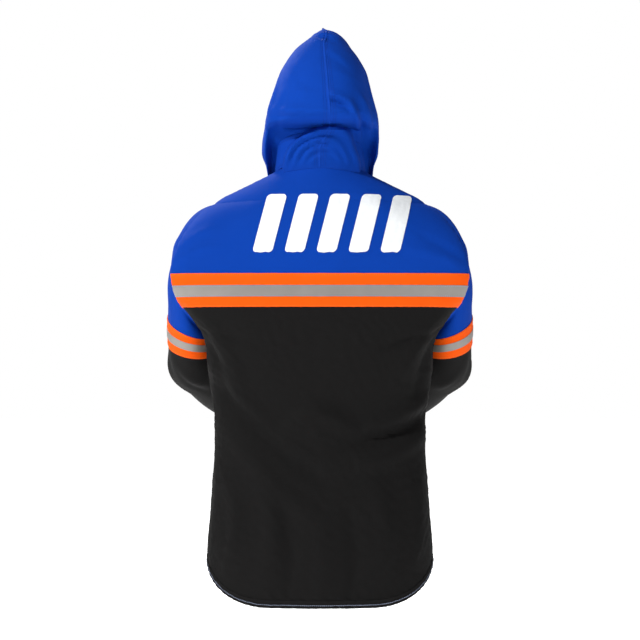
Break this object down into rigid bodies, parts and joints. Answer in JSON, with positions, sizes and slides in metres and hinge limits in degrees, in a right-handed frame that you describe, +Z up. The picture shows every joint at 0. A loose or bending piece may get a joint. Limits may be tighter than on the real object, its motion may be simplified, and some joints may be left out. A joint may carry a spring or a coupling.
{
  "type": "hooded work jacket",
  "caption": "Hooded two-tone welder's work jacket with reflective tape on body and sleeves, zip front under a storm flap, chest pockets and a shirt-tail hem, shaped as worn.",
  "frame": {"origin": "the middle of the wearer's neck at the level of the collar seam's back", "axes": "+Z up, the front faces -Y, the wearer's left is +X"},
  "size_m": [0.5696, 0.4752, 1.032],
  "materials": {
    "blue_cloth": "matte",
    "black_cloth": "matte",
    "orange_tape": "matte",
    "silver_tape": "satin",
    "white_print": "satin",
    "metal": "satin",
    "zip_cloth": "matte"
  },
  "bodies": {
    "torso": {"back_yoke": "blue_cloth", "back_panel": "black_cloth", "back_tape_orange": "orange_tape", "back_tape_silver": "silver_tape", "collar_stand": "blue_cloth", "hanger_loop": "black_cloth", "zip_bottom_box": "metal", "front_yoke_left": "blue_cloth", "front_panel_left": "black_cloth", "front_tape_left_orange": "orange_tape", "front_tape_left_silver": "silver_tape", "zip_tape_left": "zip_cloth", "zip_teeth_left": "metal", "chest_pocket_left": "black_cloth", "front_yoke_right": "blue_cloth", "front_panel_right": "black_cloth", "front_tape_right_orange": "orange_tape", "front_tape_right_silver": "silver_tape", "zip_tape_right": "zip_cloth", "zip_teeth_right": "metal", "chest_pocket_right": "black_cloth", "yoke_print_1": "white_print", "yoke_print_2": "white_print", "yoke_print_3": "white_print", "yoke_print_4": "white_print", "yoke_print_5": "white_print"},
    "hood": {"hood_left": "blue_cloth", "hood_right": "blue_cloth", "hood_face_band": "blue_cloth"},
    "storm_flap": {"storm_flap": "black_cloth", "storm_flap_stud_1": "metal", "storm_flap_stud_2": "metal", "storm_flap_stud_3": "metal", "storm_flap_stud_4": "metal", "storm_flap_stud_5": "metal"},
    "zip_slider": {"zip_slider": "metal"},
    "zip_pull": {"zip_pull": "metal"},
    "pocket_flap_left": {"pocket_flap_left": "black_cloth", "pocket_stud_left": "metal"},
    "upper_sleeve_left": {"sleeve_upper_left": "blue_cloth", "sleeve_elbow_left": "black_cloth", "sleeve_tape_left_orange": "orange_tape", "sleeve_tape_left_silver": "silver_tape"},
    "forearm_sleeve_left": {"sleeve_lower_left": "black_cloth", "cuff_left": "black_cloth"},
    "cuff_tab_left": {"cuff_tab_left": "black_cloth", "cuff_stud_left": "metal"},
    "pocket_flap_right": {"pocket_flap_right": "black_cloth", "pocket_stud_right": "metal"},
    "upper_sleeve_right": {"sleeve_upper_right": "blue_cloth", "sleeve_elbow_right": "black_cloth", "sleeve_tape_right_orange": "orange_tape", "sleeve_tape_right_silver": "silver_tape"},
    "forearm_sleeve_right": {"sleeve_lower_right": "black_cloth", "cuff_right": "black_cloth"},
    "cuff_tab_right": {"cuff_tab_right": "black_cloth", "cuff_stud_right": "metal"}
  },
  "joints": [
    {"name": "hood_tilt", "type": "hinge", "parent": "torso", "child": "hood", "pos_m": [0, 0.076, -0.002], "axis": [-1, 0, 0], "range_deg": [0, 35]},
    {"name": "storm_flap_swing", "type": "hinge", "parent": "torso", "child": "storm_flap", "pos_m": [0.032, -0.1121, -0.0004], "axis": [0, 0.036, 0.9994], "range_deg": [0, 90]},
    {"name": "zip_slide", "type": "slide", "parent": "torso", "child": "zip_slider", "axis": [0, -0.036, -0.9994], "range_m": [0, 0.72]},
    {"name": "zip_pull_swing", "type": "hinge", "parent": "zip_slider", "child": "zip_pull", "pos_m": [0, -0.0995, -0.0068], "axis": [-1, 0, 0], "range_deg": [0, 110]},
    {"name": "pocket_flap_left_lift", "type": "hinge", "parent": "torso", "child": "pocket_flap_left", "pos_m": [0.101, -0.1099, -0.298], "axis": [-0.9715, -0.2371, 0], "range_deg": [0, 100]},
    {"name": "shoulder_left_swing", "type": "hinge", "parent": "torso", "child": "upper_sleeve_left", "pos_m": [0.196, 0, -0.07], "axis": [-1, 0, 0], "range_deg": [0, 35]},
    {"name": "elbow_left_bend", "type": "hinge", "parent": "upper_sleeve_left", "child": "forearm_sleeve_left", "pos_m": [0.228, -0.15668, -0.31658], "axis": [-0.965, 0.1558, 0.2108], "range_deg": [0, 30]},
    {"name": "cuff_tab_left_open", "type": "hinge", "parent": "forearm_sleeve_left", "child": "cuff_tab_left", "pos_m": [0.13618, -0.29937, -0.5146], "axis": [0.4612, 0.7519, 0.4712], "range_deg": [0, 60]},
    {"name": "pocket_flap_right_lift", "type": "hinge", "parent": "torso", "child": "pocket_flap_right", "pos_m": [-0.101, -0.1099, -0.298], "axis": [-0.9715, 0.2371, 0], "range_deg": [0, 100]},
    {"name": "shoulder_right_swing", "type": "hinge", "parent": "torso", "child": "upper_sleeve_right", "pos_m": [-0.196, 0, -0.07], "axis": [-1, 0, 0], "range_deg": [0, 35]},
    {"name": "elbow_right_bend", "type": "hinge", "parent": "upper_sleeve_right", "child": "forearm_sleeve_right", "pos_m": [-0.228, -0.15668, -0.31658], "axis": [-0.965, -0.1558, -0.2108], "range_deg": [0, 30]},
    {"name": "cuff_tab_right_open", "type": "hinge", "parent": "forearm_sleeve_right", "child": "cuff_tab_right", "pos_m": [-0.13618, -0.29937, -0.5146], "axis": [0.4612, -0.7519, -0.4712], "range_deg": [0, 60]}
  ]
}
